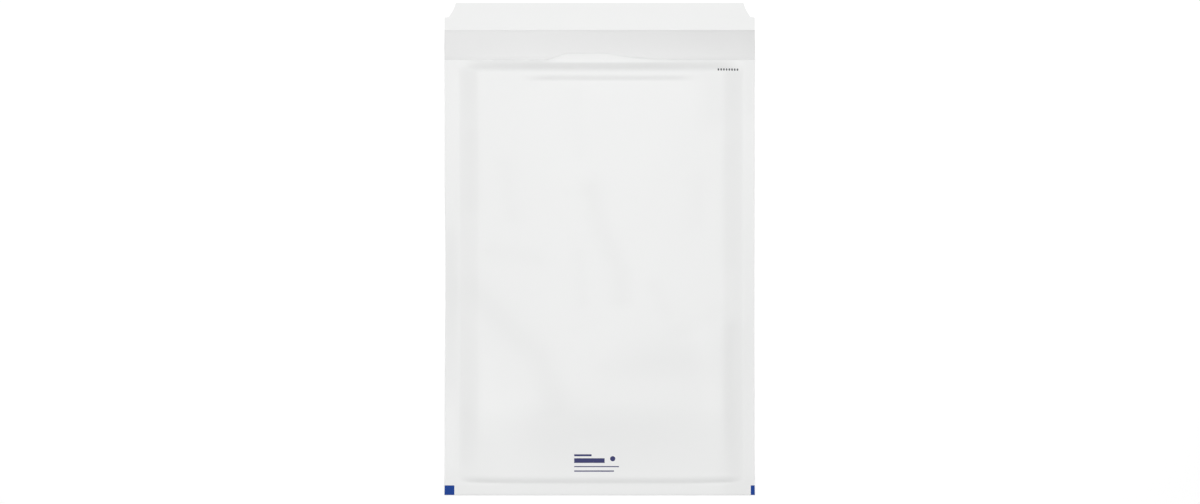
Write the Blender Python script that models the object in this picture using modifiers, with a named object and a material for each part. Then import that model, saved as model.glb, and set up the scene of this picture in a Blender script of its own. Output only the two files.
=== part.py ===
"""Padded envelope, lying on its back with the flap open.

A sheet of white paper is folded once at the bottom: its long half is the back panel and the
flap, its short half the front panel. A bag of bubble film, welded along both sides and across
the bottom, pads the pocket between the two panels. Glue under a release strip crosses the flap.

Metres, +Z up. X runs across the envelope and +Y from the bottom fold to the tip of the flap.
The back panel lies on z = 0, and the origin is under the middle of the whole outline.
"""

import math

import bmesh
import bpy
from mathutils import Matrix

# Outline of the folded envelope
PANEL_WIDTH = 0.250
PANEL_LENGTH = 0.350
FLAP_LENGTH = 0.0465
SIDE_PULL_IN = 0.0007

# Flat seams, which sink towards the flap and the bottom, and the shoulder of the padding
SEAM_WIDTH = 0.010
BOTTOM_SEAM = 0.010
SEAM_HEIGHT = 0.0034
SEAM_SINK = 0.0022
SINK_LENGTH = 0.070
SHOULDER_WIDTH = 0.018

# Empty pocket: its crown, and how it closes towards the mouth
CROWN_WIDTH = 0.085
POCKET_GAP = 0.007
MOUTH_GAP = 0.006
CLOSING_LENGTH = 0.095

# Thickness of each layer
PAPER = 0.00012
FILM = 0.0002
PADDED_WALL = 0.0035
WELD_LINE = 0.00006
CLEARANCE = 0.0003

# Mouth: bare paper lip past the film, and the dip behind the first row of bubbles
LIP_LENGTH = 0.006
LIP_DROP = 0.003
DIP_FROM_MOUTH = 0.0165
DIP_WIDTH = 0.007
DIP_DEPTH = 0.0008

# Flap: die-cut corners, and the stretch over which it settles flat
CORNER_INSET = 0.009
CORNER_SHOULDER = 0.0042
CORNER_LENGTH = 0.0101
CORNER_FLARE = 0.0016
FLAP_SETTLE = 0.034

# Glue and release strip on the inside of the flap
RELEASE_WIDTH = 0.0241
RELEASE_FROM_MOUTH = 0.0005
RELEASE_THICKNESS = 0.0001
GLUE_MARGIN = 0.003
GLUE_THICKNESS = 0.0001

# Bubble film: its edges, and the web that carries the staggered rows of bubbles
LINER_INSET = 0.0005
BUBBLE_PITCH = 0.012
WEB = 0.0007
TRIMMED_EDGE = 0.0015

# How finely each stretch is divided
SHOULDER_STEPS = 5
CROWN_STEPS = 3
LEVEL_STEPS = 1
SINK_STEPS = 3
FOLD_STEPS = 4
LIP_STEPS = 3
DIP_STEPS = 4
CORNER_STEPS = 4
FLARE_STEPS = 3
SETTLE_STEPS = 4

# Worked out from the sizes above
TOTAL_LENGTH = PANEL_LENGTH + FLAP_LENGTH
BOTTOM_Y = -TOTAL_LENGTH / 2
MOUTH_Y = BOTTOM_Y + PANEL_LENGTH
TIP_Y = TOTAL_LENGTH / 2
LINER_MOUTH_Y = MOUTH_Y - LIP_LENGTH
DIP_START = MOUTH_Y - DIP_FROM_MOUTH - DIP_WIDTH / 2
DIP_END = DIP_START + DIP_WIDTH
FOLD_RADIUS = PAPER + CLEARANCE + FILM / 2
COVER = PAPER + CLEARANCE
SEAM_FILM = (FILM - WELD_LINE) / 2
SHOULDER_STEP = SHOULDER_WIDTH / SHOULDER_STEPS
MERGE_DISTANCE = 0.00005
SMOOTH_ANGLE = math.radians(40)


def soft_step(t):
    """Ramp from 0 to 1 that leaves and arrives level."""
    t = min(1.0, max(0.0, t))
    return t * t * (3.0 - 2.0 * t)


def round_rise(t):
    """Ramp from 0 to 1 that leaves steeply and arrives level."""
    t = min(1.0, max(0.0, t))
    return t * (2.0 - t)


def panel_half_width(y):
    """Half the width of the panels, whose sides draw in a little at mid length."""
    along = min(1.0, max(0.0, (y - BOTTOM_Y) / PANEL_LENGTH))
    return PANEL_WIDTH / 2 - SIDE_PULL_IN * math.sin(math.pi * along)


def sheet_half_width(y):
    """Half the width of the sheet, with the die-cut corners of the flap."""
    from_tip = TIP_Y - y
    if from_tip <= CORNER_LENGTH:
        along = from_tip / CORNER_LENGTH
        inset = CORNER_INSET - (CORNER_INSET - CORNER_SHOULDER) * (along + along * along) / 2
        return PANEL_WIDTH / 2 - inset
    if from_tip < CORNER_LENGTH + CORNER_FLARE:
        along = (from_tip - CORNER_LENGTH) / CORNER_FLARE
        return PANEL_WIDTH / 2 - CORNER_SHOULDER * math.sqrt(1.0 - along * along)
    return panel_half_width(y)


def inside_seams(x, y):
    """Distances from the side seam and from the bottom seam, negative on them."""
    nominal_x = abs(x) * PANEL_WIDTH / 2 / panel_half_width(y)
    return PANEL_WIDTH / 2 - SEAM_WIDTH - nominal_x, y - BOTTOM_Y - BOTTOM_SEAM


def padding(x, y):
    """Share of the padding's thickness: 0 on the seams, 1 past the shoulder."""
    from_side, from_bottom = inside_seams(x, y)
    return soft_step(from_side / SHOULDER_WIDTH) * soft_step(from_bottom / SHOULDER_WIDTH)


def crown(x, y):
    """Share of the pocket's height: 0 on the seams, 1 in the middle."""
    from_side, from_bottom = inside_seams(x, y)
    return round_rise(from_side / CROWN_WIDTH) * round_rise(from_bottom / CROWN_WIDTH)


def seam_height(y):
    """Height of the side seams, which sink towards the flap and the bottom."""
    to_end = min(MOUTH_Y - y, y - BOTTOM_Y)
    return SEAM_HEIGHT - SEAM_SINK * soft_step(1.0 - to_end / SINK_LENGTH)


def back_height(x, y):
    """Outer face of the back panel, which runs on past the mouth as the flap."""
    panel_y = min(y, MOUTH_Y)
    lift = (seam_height(panel_y) - FOLD_RADIUS) * (1.0 - padding(x, panel_y))
    return lift * (1.0 - soft_step((y - MOUTH_Y) / FLAP_SETTLE))


def pocket_back(x, y):
    """Inner face of the back wall, which meets the front wall at the weld."""
    weld = seam_height(y) - WELD_LINE / 2
    return weld + padding(x, y) * (COVER + PADDED_WALL - weld)


def pocket_gap(y):
    """Height of the pocket along its middle, which closes a little towards the mouth."""
    closed = soft_step(1.0 - (LINER_MOUTH_Y - y) / CLOSING_LENGTH)
    return POCKET_GAP + closed * (MOUTH_GAP - POCKET_GAP)


def pocket_front(x, y):
    """Inner face of the front wall, crowned by the open pocket."""
    return pocket_back(x, y) + WELD_LINE + crown(x, y) * (pocket_gap(y) - WELD_LINE)


def front_height(x, y):
    """Outer face of the front panel, with the dip and the dropped lip at the mouth."""
    from_dip = abs(y - (MOUTH_Y - DIP_FROM_MOUTH)) / (DIP_WIDTH / 2)
    dip = DIP_DEPTH * soft_step(1.0 - from_dip)
    drop = LIP_DROP * soft_step((y - LINER_MOUTH_Y) / LIP_LENGTH)
    wall = SEAM_FILM + padding(x, y) * (PADDED_WALL - SEAM_FILM - dip - drop)
    return pocket_front(x, y) + wall + COVER


def web(x, y):
    """Thickness of the film between the bubbles, which thins to the weld along either seam."""
    from_seam = min(inside_seams(x, y))
    film = SEAM_FILM + soft_step(from_seam / SHOULDER_WIDTH) * (WEB - SEAM_FILM)
    wall = SEAM_FILM + padding(x, y) * (PADDED_WALL - SEAM_FILM)
    return min(film, wall)


def liner_back(x, y, on_bubble):
    """Outer face of the film behind the pocket: a bubble's top, or the web between bubbles."""
    return back_height(x, y) + COVER if on_bubble else pocket_back(x, y) - web(x, y)


def liner_front(x, y, on_bubble):
    """Outer face of the film in front of the pocket."""
    return front_height(x, y) - COVER if on_bubble else pocket_front(x, y) + web(x, y)


def stations(*stretches):
    """Places along a line, from (start, stop, steps) stretches that follow each other."""
    places = [stretches[0][0]]
    for start, stop, steps in stretches:
        places += [start + (stop - start) * (step + 1) / steps for step in range(steps)]
    return places


def across(half_width, crowned=True):
    """Places across the envelope: seam, shoulder, the crown's rise, and the same back out."""
    seam = PANEL_WIDTH / 2 - SEAM_WIDTH
    shoulder = seam - SHOULDER_WIDTH
    left = stations((-half_width, -seam, 1), (-seam, -shoulder, SHOULDER_STEPS))
    if crowned:
        left += stations((-shoulder, CROWN_WIDTH - seam, CROWN_STEPS))[1:]
    return left + [-place for place in reversed(left)]


def up_the_panel(start, *rest):
    """Places up a panel: bottom seam, shoulder, crown, sinking seams, then the given stretches."""
    seam = BOTTOM_Y + BOTTOM_SEAM
    shoulder = seam + SHOULDER_WIDTH
    level = seam + CROWN_WIDTH
    sinking = MOUTH_Y - SINK_LENGTH
    return stations(
        (start, seam, 1),
        (seam, shoulder, SHOULDER_STEPS),
        (shoulder, level, CROWN_STEPS),
        (level, sinking, LEVEL_STEPS),
        (sinking, DIP_START, SINK_STEPS),
        *rest,
    )


def up_the_front(start, mouth):
    """Places up the front panel, with its dip and first row of bubbles."""
    return up_the_panel(start, (DIP_START, DIP_END, DIP_STEPS), (DIP_END, mouth, 1))


def grid_mesh(columns, rows, place):
    """A grid whose crossing (column, row) is moved to place(column, row)."""
    grid = bmesh.new()
    last_column = len(columns) - 1
    last_row = len(rows) - 1
    bmesh.ops.create_grid(grid, x_segments=last_column, y_segments=last_row, size=1.0)
    for vertex in grid.verts:
        column = columns[round((vertex.co.x + 1.0) / 2 * last_column)]
        row = rows[round((vertex.co.y + 1.0) / 2 * last_row)]
        vertex.co = place(column, row)
    return grid


def new_object(name, grid, collection):
    """Turn a bmesh into an object with smooth shading."""
    mesh = bpy.data.meshes.new(name)
    grid.to_mesh(mesh)
    grid.free()
    mesh.shade_smooth()
    mesh.set_sharp_from_angle(angle=SMOOTH_ANGLE)
    made = bpy.data.objects.new(name, mesh)
    collection.objects.link(made)
    return made


def give_thickness(made, thickness):
    """Thicken a sheet inwards from the face that was modelled."""
    solidify = made.modifiers.new("thickness", "SOLIDIFY")
    solidify.thickness = thickness
    solidify.offset = -1.0
    solidify.use_even_offset = True


def paint(made, name, colour, roughness, alpha=1.0):
    """Give an object a Principled material of its own."""
    material = bpy.data.materials.new(name)
    material.use_nodes = True
    shader = material.node_tree.nodes["Principled BSDF"]
    shader.inputs["Base Color"].default_value = (*colour, 1.0)
    shader.inputs["Roughness"].default_value = roughness
    shader.inputs["Metallic"].default_value = 0.0
    shader.inputs["Alpha"].default_value = alpha
    made.data.materials.append(material)


def on_the_floor(x, y):
    """A flat pattern's own place for a crossing of its grid."""
    return (x, y, 0.0)


def thicken_pattern(pattern, lower, upper):
    """Turn a flat pattern into a closed solid between two height functions of a vertex."""
    raised = bmesh.ops.extrude_face_region(pattern, geom=pattern.faces[:])
    top = {item for item in raised["geom"] if isinstance(item, bmesh.types.BMVert)}
    for vertex in pattern.verts:
        vertex.co.x *= panel_half_width(vertex.co.y) / (PANEL_WIDTH / 2)
        height = upper if vertex in top else lower
        vertex.co.z = height(vertex)
    bmesh.ops.recalc_face_normals(pattern, faces=pattern.faces)


def bubble_field():
    """Half the width, the bottom and the top of the field that the bubbles fill."""
    half_width = PANEL_WIDTH / 2 - SEAM_WIDTH - SHOULDER_STEP
    return half_width, BOTTOM_Y + BOTTOM_SEAM + SHOULDER_STEP, LINER_MOUTH_Y - TRIMMED_EDGE


def add_bubble_cells(pattern):
    """A honeycomb of staggered rows, one cell for each bubble, welded along the shared sides."""
    half_width, first_y, last_y = bubble_field()
    corner = BUBBLE_PITCH / math.sqrt(3)
    row_step = corner * 1.5
    row_count = 1 + int((last_y - first_y - 2 * corner) / row_step)
    in_a_row = int(2 * half_width / BUBBLE_PITCH)
    middle_y = (first_y + last_y) / 2
    for row in range(row_count):
        count = in_a_row - row % 2
        y = middle_y + (row - (row_count - 1) / 2) * row_step
        for place in range(count):
            x = (place - (count - 1) / 2) * BUBBLE_PITCH
            at = Matrix.Translation((x, y, 0.0))
            bmesh.ops.create_circle(pattern, cap_ends=True, segments=6, radius=corner, matrix=at)
    bmesh.ops.remove_doubles(pattern, verts=pattern.verts, dist=MERGE_DISTANCE)


def bubble_pattern():
    """The flat pattern of one wall of the bag, and its layer that marks the bubbles' tops."""
    half_width, first_y, last_y = bubble_field()
    columns = across(PANEL_WIDTH / 2 - LINER_INSET)
    rows = up_the_front(BOTTOM_Y + FOLD_RADIUS, last_y) + [LINER_MOUTH_Y]
    pattern = grid_mesh(columns, rows, on_the_floor)
    tops = pattern.verts.layers.int.new("bubble_top")
    outline = {edge for edge in pattern.edges if edge.is_boundary}
    middles = {face: face.calc_center_median() for face in pattern.faces}
    covered = [
        face
        for face, middle in middles.items()
        if abs(middle.x) < half_width and first_y < middle.y < last_y
    ]
    bmesh.ops.delete(pattern, geom=covered, context="FACES")
    border = set(pattern.faces)
    add_bubble_cells(pattern)
    cells = [face for face in pattern.faces if face not in border]
    rims = [edge for edge in pattern.edges if edge.is_boundary and edge not in outline]
    bmesh.ops.triangle_fill(pattern, edges=rims, use_beauty=True, normal=(0.0, 0.0, 1.0))
    poked = bmesh.ops.poke(pattern, faces=cells)
    for vertex in poked["verts"]:
        vertex[tops] = 1
    return pattern, tops


def paper_rows():
    """The sheet's run: down the flap and the back panel, round the fold, up the front panel."""
    shoulder_y = TIP_Y - CORNER_LENGTH
    flap = stations(
        (TIP_Y, shoulder_y, CORNER_STEPS),
        (shoulder_y, shoulder_y - CORNER_FLARE, FLARE_STEPS),
        (shoulder_y - CORNER_FLARE, MOUTH_Y, SETTLE_STEPS),
    )
    fold_y = BOTTOM_Y + FOLD_RADIUS
    back = up_the_panel(fold_y, (DIP_START, MOUTH_Y, 1))
    front = up_the_front(fold_y, LINER_MOUTH_Y)
    lip = stations((LINER_MOUTH_Y, MOUTH_Y, LIP_STEPS))
    turns = [math.pi * step / FOLD_STEPS for step in range(1, FOLD_STEPS)]
    return (
        [("back", y) for y in flap]
        + [("back", y) for y in reversed(back[:-1])]
        + [("fold", turn) for turn in turns]
        + [("front", y) for y in front]
        + [("front", y) for y in lip[1:]]
    )


def paper_place(x, row):
    """Where a crossing of the paper's grid lies in the folded envelope."""
    part, value = row
    if part == "fold":
        y = BOTTOM_Y + FOLD_RADIUS * (1.0 - math.sin(value))
        z = seam_height(y) - FOLD_RADIUS * math.cos(value)
        return (x * panel_half_width(y) / (PANEL_WIDTH / 2), y, z)
    height = back_height if part == "back" else front_height
    spread = x * sheet_half_width(value) / (PANEL_WIDTH / 2)
    return (spread, value, height(spread, value))


def make_paper_envelope(collection):
    """The folded sheet of paper."""
    grid = grid_mesh(across(PANEL_WIDTH / 2), paper_rows(), paper_place)
    made = new_object("paper_envelope", grid, collection)
    give_thickness(made, PAPER)
    paint(made, "white_paper", (0.84, 0.84, 0.83), 0.75)


def make_bubble_liner(collection, cutters):
    """The welded film bag: a cushion with the pocket cut out of it, open at the mouth."""
    film, tops = bubble_pattern()
    thicken_pattern(
        film,
        lambda vertex: liner_back(vertex.co.x, vertex.co.y, vertex[tops]),
        lambda vertex: liner_front(vertex.co.x, vertex.co.y, vertex[tops]),
    )
    bag = new_object("bubble_liner", film, collection)

    columns = across(PANEL_WIDTH / 2)[1:-1]
    rows = up_the_panel(BOTTOM_Y, (DIP_START, MOUTH_Y + LIP_LENGTH, 1))[1:]
    space = grid_mesh(columns, rows, on_the_floor)
    thicken_pattern(
        space,
        lambda vertex: pocket_back(vertex.co.x, vertex.co.y),
        lambda vertex: pocket_front(vertex.co.x, vertex.co.y),
    )
    pocket = new_object("pocket_cutter", space, cutters)
    pocket.hide_render = True
    pocket.display_type = "WIRE"
    cut = bag.modifiers.new("pocket", "BOOLEAN")
    cut.operation = "DIFFERENCE"
    cut.object = pocket
    paint(bag, "clear_film", (0.80, 0.82, 0.84), 0.25, 0.6)


def make_flap_strip(name, near_y, far_y, side_margin, lift, thickness, collection):
    """A thin strip that follows the inside of the flap."""
    def place(x, y):
        spread = x * panel_half_width(y) / (PANEL_WIDTH / 2)
        return (spread, y, back_height(spread, y) + lift + thickness)

    rows = stations((near_y, far_y, SETTLE_STEPS))
    grid = grid_mesh(across(PANEL_WIDTH / 2 - side_margin, crowned=False), rows, place)
    made = new_object(name, grid, collection)
    give_thickness(made, thickness)
    return made


def make_strips(collection):
    """Glue on the flap, and the release strip that covers it."""
    near_y = MOUTH_Y + RELEASE_FROM_MOUTH
    far_y = near_y + RELEASE_WIDTH
    glue = make_flap_strip(
        "adhesive_strip",
        near_y + GLUE_MARGIN,
        far_y - GLUE_MARGIN,
        GLUE_MARGIN,
        COVER,
        GLUE_THICKNESS,
        collection,
    )
    paint(glue, "hot_melt_glue", (0.78, 0.74, 0.62), 0.35)
    lift = COVER + GLUE_THICKNESS + CLEARANCE
    release = make_flap_strip("release_strip", near_y, far_y, 0.0, lift, RELEASE_THICKNESS, collection)
    paint(release, "silicone_paper", (0.76, 0.77, 0.77), 0.35)


def main():
    for old in list(bpy.data.objects):
        bpy.data.objects.remove(old, do_unlink=True)
    envelope = bpy.data.collections.new("padded_envelope")
    cutters = bpy.data.collections.new("cutters")
    bpy.context.scene.collection.children.link(envelope)
    bpy.context.scene.collection.children.link(cutters)
    make_paper_envelope(envelope)
    make_bubble_liner(envelope, cutters)
    make_strips(envelope)


main()
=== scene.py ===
"""Padded envelope, dressed: white paper, bubble film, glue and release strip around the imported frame.

Each piece takes its place from the frame's own boxes and its form from the sizes in the panel.
Metres, +Z up. X runs across the envelope and +Y from the bottom fold to the tip of the flap.
"""

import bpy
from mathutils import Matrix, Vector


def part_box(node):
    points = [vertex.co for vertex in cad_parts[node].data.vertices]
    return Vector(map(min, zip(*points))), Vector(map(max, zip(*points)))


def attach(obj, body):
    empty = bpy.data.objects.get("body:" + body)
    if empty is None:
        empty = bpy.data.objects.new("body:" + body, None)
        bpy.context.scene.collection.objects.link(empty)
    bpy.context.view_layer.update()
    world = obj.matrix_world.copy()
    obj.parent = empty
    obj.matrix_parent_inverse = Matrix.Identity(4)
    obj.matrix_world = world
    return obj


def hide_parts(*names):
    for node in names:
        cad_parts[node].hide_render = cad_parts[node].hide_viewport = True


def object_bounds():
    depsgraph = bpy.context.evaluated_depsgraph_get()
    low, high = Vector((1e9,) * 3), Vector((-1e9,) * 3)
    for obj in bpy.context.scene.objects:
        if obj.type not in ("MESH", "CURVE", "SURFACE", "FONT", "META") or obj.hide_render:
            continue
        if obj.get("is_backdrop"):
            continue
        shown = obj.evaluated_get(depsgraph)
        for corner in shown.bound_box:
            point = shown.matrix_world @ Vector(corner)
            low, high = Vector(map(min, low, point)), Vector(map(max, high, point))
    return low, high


bl_info = {
    "name": "Padded envelope",
    "version": (1, 0, 0),
    "blender": (4, 5, 0),
    "location": "3D View > Sidebar > Envelope",
    "description": "Builds a white padded envelope of paper and bubble film, with its flap open",
    "category": "Add Mesh",
}

import math

import bmesh
import bpy
import numpy as np
from bpy.props import FloatProperty, FloatVectorProperty, PointerProperty

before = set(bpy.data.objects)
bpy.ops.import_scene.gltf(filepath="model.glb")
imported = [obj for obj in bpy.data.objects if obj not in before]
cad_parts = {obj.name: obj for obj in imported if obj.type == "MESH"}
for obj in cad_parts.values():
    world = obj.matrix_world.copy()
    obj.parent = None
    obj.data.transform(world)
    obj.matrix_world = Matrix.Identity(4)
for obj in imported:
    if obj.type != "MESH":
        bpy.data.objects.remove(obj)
cad_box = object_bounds()

BODY = "root"
SMOOTH_ANGLE = math.radians(40)
FLOOR_GLOW = 0.30
LAYER_ROOM = 0.00003
FILM_MARGIN = 0.0015
LEAST_BUBBLE = 0.0008
BUBBLE_SIDES = 10
BUBBLE_RINGS = 3

# Steps between the rows and columns of the meshes, on the seams, the shoulders and the strips' edges
SEAM_STEP = 0.0022
SHOULDER_STEP = 0.0010
STRIP_EDGE = 0.004
STRIP_EDGE_STEP = 0.0004

# Where the side seams droop: middle and reach, along the envelope
LEFT_DROOP_AT = (-0.03, 0.1)
RIGHT_DROOP_AT = (-0.06, 0.14)

# The dip behind the first row of bubbles: middle, half its length and length of its ends, across
DIP_ACROSS = (0.008, 0.078, 0.030)

# The bottom crease curves up at the sides: how far, and how late
CREASE_CURVE = 0.0026
CREASE_POWER = 6

# The lip: its slope at its edge as a share of the steepest, and the length that the bow stretches
LIP_SLOPE = 0.45
LIP_STRETCH = 0.0018
BOW_START = -0.046
BOW_LEFT = 0.022
BOW_RIGHT = 0.022

# Depths of the slow and the quick waves of the padding
SLOW_WAVES = 0.00010
QUICK_WAVES = 0.00003

# Soft dents that handling left in the front, raised where negative: half width, strength and path,
# in millimetres. Each is also painted darker, or lighter where raised, as painted shade
SOFT_DENTS = (
    (7, 0.30, ((-20, 123), (-17, 76))),
    (9, 1.00, ((-7, 45), (1, 14), (16, -19), (17, -42))),
    (6, 0.50, ((-17, -7), (-15, -45))),
    (8, 0.45, ((-77, 66), (-72, 25))),
    (9, 0.45, ((-89, -5), (-54, -10))),
    (12, 1.00, ((-106, -34), (-75, -68), (-51, -89), (-36, -128))),
    (7, 0.45, ((44, -32), (55, -53))),
    (8, 0.40, ((81, 55), (80, 19))),
    (8, 0.40, ((60, -68), (99, -52))),
    (9, -0.50, ((-92, -94), (-90, -146))),
    (24, -1.10, ((-76, -135), (-76, -160))),
    (8, 1.60, ((109, -66), (108, -176))),
    (8, 0.80, ((-107, 88), (-107, 35))),
    (9, 0.70, ((108, 80), (108, -10))),
    (24, 0.70, ((40, -90), (92, -95))),
    (6, 0.70, ((-110, -132), (-109, -168))),
    (15, 0.90, ((96, 138), (96, 108))),
    (8, -1.10, ((-121, -132), (-121, -172))),
    (7, 0.80, ((121, 150), (121, 112))),
    (8, 1.80, ((108, -192), (119, -192))),
    (7, 0.80, ((-121, 10), (-121, -105))),
    (10, -0.40, ((80, -60), (94, -126))),
    (14, 0.60, ((8, -100), (70, -96))),
)
DENT_DEPTH = 0.0007

# The paper's darkest and lightest tone, and the share of that range by which a dent of strength 1 is painted
# darker, as painted shade
PAPER_SHADES = (0.955, 1.03)
DENT_SHADE_SHARE = 1 / 3

# Painted shade on the seams, the bare lip and its bow: how much darker each is painted, as a share of a
# dent's painted shade
PAINTED_SHADE_SHARES = {"left": 0.4, "right": 0.6, "bottom": 0.7, "lip": 1.0, "bow": 1.8}
# Width over which the painted shade on the seams fades in
PAINTED_SHADE_EDGE = 0.002

# The print: softness of its edges, then the blue corner marks' height and the width of each
PRINT_SOFTNESS = 0.00008
MARK_HEIGHT = 0.0078
LEFT_MARK = 0.0080
RIGHT_MARK = 0.0033

# The dark block: left edge, its bars as middle, reach and half height, and its disc as x, y and radius
BLOCK_X = -0.0205
BLOCK_BARS = (
    (-0.1660, 0.0140, 0.0008),
    (-0.1703, 0.0245, 0.0019),
    (-0.1752, 0.0360, 0.0004),
    (-0.1788, 0.0320, 0.0005),
)
BLOCK_DISC = (0.0105, -0.1688, 0.0021)

# The grey ticks
TICKS_X = 0.0955
TICK_STEP = 0.0022
TICK_COUNT = 8
TICK_HALF_WIDTH = 0.0006
TICK_ENDS = (0.1434, 0.1451)

# Lengths over which the release strip is painted darker, as painted shade, at its raised edge away from the
# mouth and at the near one
FAR_EDGE_SHADE = 0.0017
NEAR_EDGE_SHADE = 0.0008


def soft_step(t):
    """Ramp from 0 to 1 that leaves and arrives level."""
    t = np.clip(t, 0.0, 1.0)
    return t * t * (3.0 - 2.0 * t)


def round_rise(t):
    """Ramp from 0 to 1 that leaves steeply and arrives level."""
    t = np.clip(t, 0.0, 1.0)
    return t * (2.0 - t)


def steepening(t):
    """Fall from 0 to a half whose slope grows from 0 to 1 as a soft step."""
    t = np.clip(t, 0.0, 1.0)
    return t ** 3 - t ** 4 / 2


def swell(t):
    """Ramp from 0 to 1 like the edge of a stuffed pocket: steep at once, then easing off."""
    return 1.0 - (1.0 - np.clip(t, 0.0, 1.0)) ** 1.5


def bell(t):
    """Smooth bump of height 1 at t = 0 that is gone at t = -1 and t = 1."""
    return soft_step(1.0 - np.abs(t))


def length(name, description, default, **more):
    """A size in metres for a PropertyGroup."""
    return FloatProperty(
        name=name, description=description, default=default, unit="LENGTH", subtype="DISTANCE",
        precision=5, **more,
    )


def colour(name, description, default):
    """A colour for a PropertyGroup, written in linear light."""
    return FloatVectorProperty(
        name=name, description=description, default=default, subtype="COLOR", size=3, min=0.0, max=1.0
    )


class EnvelopeSizes(bpy.types.PropertyGroup):
    """Sizes that a maker of padded envelopes would set."""

    paper: length("Paper", "Thickness of the paper", 0.00012)
    film: length("Film", "Thickness of the flat film that closes the bubbles", 0.00012)
    glue: length("Glue", "Thickness of the band of glue", 0.0001)
    release: length("Release strip", "Thickness of the release strip", 0.00008)
    seam_width: length("Seam width", "Width of the flat seam along the bottom", 0.0090)
    left_seam: length("Left seam", "Width of the flat seam at the left", 0.0108)
    right_seam: length("Right seam", "Width of the flat seam at the right", 0.0086)
    seam_height: length("Seam height", "Height at which the side seams lie at mid length", 0.0030)
    seam_sink: length("Seam sink", "How far the seams sink towards the flap and the bottom", 0.0018)
    sink_length: length("Sink length", "Length over which the seams sink", 0.095)
    left_droop: length("Left droop", "How far the edge of the left seam droops at mid length", 0.0026)
    right_droop: length("Right droop", "How far the edge of the right seam droops past mid length", 0.0012)
    shoulder: length("Shoulder", "Width over which the padding swells to its thickness", 0.0165)
    crease: length("Crease", "Width over which a shoulder leaves its seam", 0.0009)
    heel: length("Heel", "Length over which the front swells above the bottom seam", 0.064)
    heel_foot: length("Heel foot", "Length of the steep part of the heel, at the bottom crease", 0.0056)
    heel_rise: length("Heel rise", "How far the foot of the heel rises", 0.0021)
    crown: length("Crown", "Width over which the pocket rises to its height", 0.085)
    wall: length("Padded wall", "Thickness of one wall of bubble film", 0.0035)
    pocket: length("Pocket", "Height to which the empty pocket stands open", 0.005)
    mouth_gap: length("Mouth gap", "Height to which the pocket stands open behind the lip", 0.0028)
    closing: length("Closing", "Length over which the pocket closes towards the mouth", 0.095)
    pull_in: length("Side pull-in", "How far the sides draw in between the ends", 0.0008)
    lip: length("Lip", "Bare paper past the film at the mouth", 0.006)
    lip_fall: length("Lip fall", "Length over which the front falls to the edge of the lip", 0.0113)
    lip_turn: length("Lip turn", "Distance from that edge at which the fall is steepest", 0.0051)
    lip_height: length("Lip height", "Height of the edge of the lip above the floor", 0.0007)
    lip_bulge: length("Lip bulge", "How far the opened mouth bows out over the flap", 0.0056)
    row_start: length("Row start", "Distance of the first row of bubbles from the mouth", 0.0118)
    row_end: length("Row end", "Distance from the mouth at which the dip behind that row is deepest", 0.0172)
    row_dip: length("Row dip", "Depth of the dip behind the first row of bubbles", 0.0019)
    row_rise: length("Row rise", "Length over which the panel rises again past the dip", 0.034)
    settle: length("Settle", "Length over which the flap settles flat", 0.034)
    corner_inset: length("Corner inset", "How far the tip of the flap stops short of the side", 0.009)
    corner_shoulder: length("Corner shoulder", "Depth of the rounded notch beside the flap", 0.0042)
    corner_length: length("Corner length", "Length of the slanted corner of the flap", 0.0101)
    corner_flare: length("Corner flare", "Length of the rounded notch", 0.0016)
    bubble_pitch: length("Bubble pitch", "Distance from bubble to bubble", 0.012)
    bubble_width: length("Bubble width", "Diameter of a bubble at its foot", 0.0102)


class EnvelopeColours(bpy.types.PropertyGroup):
    """Colours of the finishes, in linear light."""

    paper: colour("Paper", "White mailing paper", (0.886, 0.891, 0.887))
    ink: colour("Ink", "Blue printing ink", (0.0, 0.041, 0.258))
    dark_ink: colour("Dark ink", "Dark blue ink of the block of print", (0.006, 0.009, 0.105))
    grey_ink: colour("Grey ink", "Grey ink of the ticks", (0.055, 0.060, 0.066))
    film: colour("Film", "Clear bubble film", (0.80, 0.83, 0.85))
    glue: colour("Glue", "Hot-melt glue", (0.78, 0.72, 0.55))
    release: colour("Release strip", "Pale grey silicone paper", (0.726, 0.728, 0.726))
    floor: colour("Floor", "Pale floor", (0.80, 0.80, 0.80))


class EnvelopeStage(bpy.types.PropertyGroup):
    """Camera and lights."""

    camera_height: length("Camera height", "Height of the lens above the floor", 2.686)
    camera_x: length("Camera X", "Where the lens stands across the envelope", 0.00028)
    camera_y: length("Camera Y", "Where the lens stands along the envelope", -0.00253)
    lens: FloatProperty(name="Lens", description="Focal length in millimetres", default=100.0)
    sensor: FloatProperty(name="Sensor", description="Sensor width in millimetres", default=36.0)
    sky: FloatProperty(name="Sky", description="Strength of the even white surroundings", default=0.28)
    key: FloatProperty(name="Key", description="Power of the large lamp in watts", default=47.5)
    lamp_x: length("Lamp X", "Where the lamp hangs across the envelope", -0.04)
    lamp_y: length("Lamp Y", "Where the lamp hangs along the envelope", 0.40)
    lamp_z: length("Lamp height", "How high the lamp hangs", 2.5)
    lamp_size: length("Lamp size", "Side of the square lamp", 1.6)
    floor: length("Floor", "Side of the square floor", 8.0)


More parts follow.
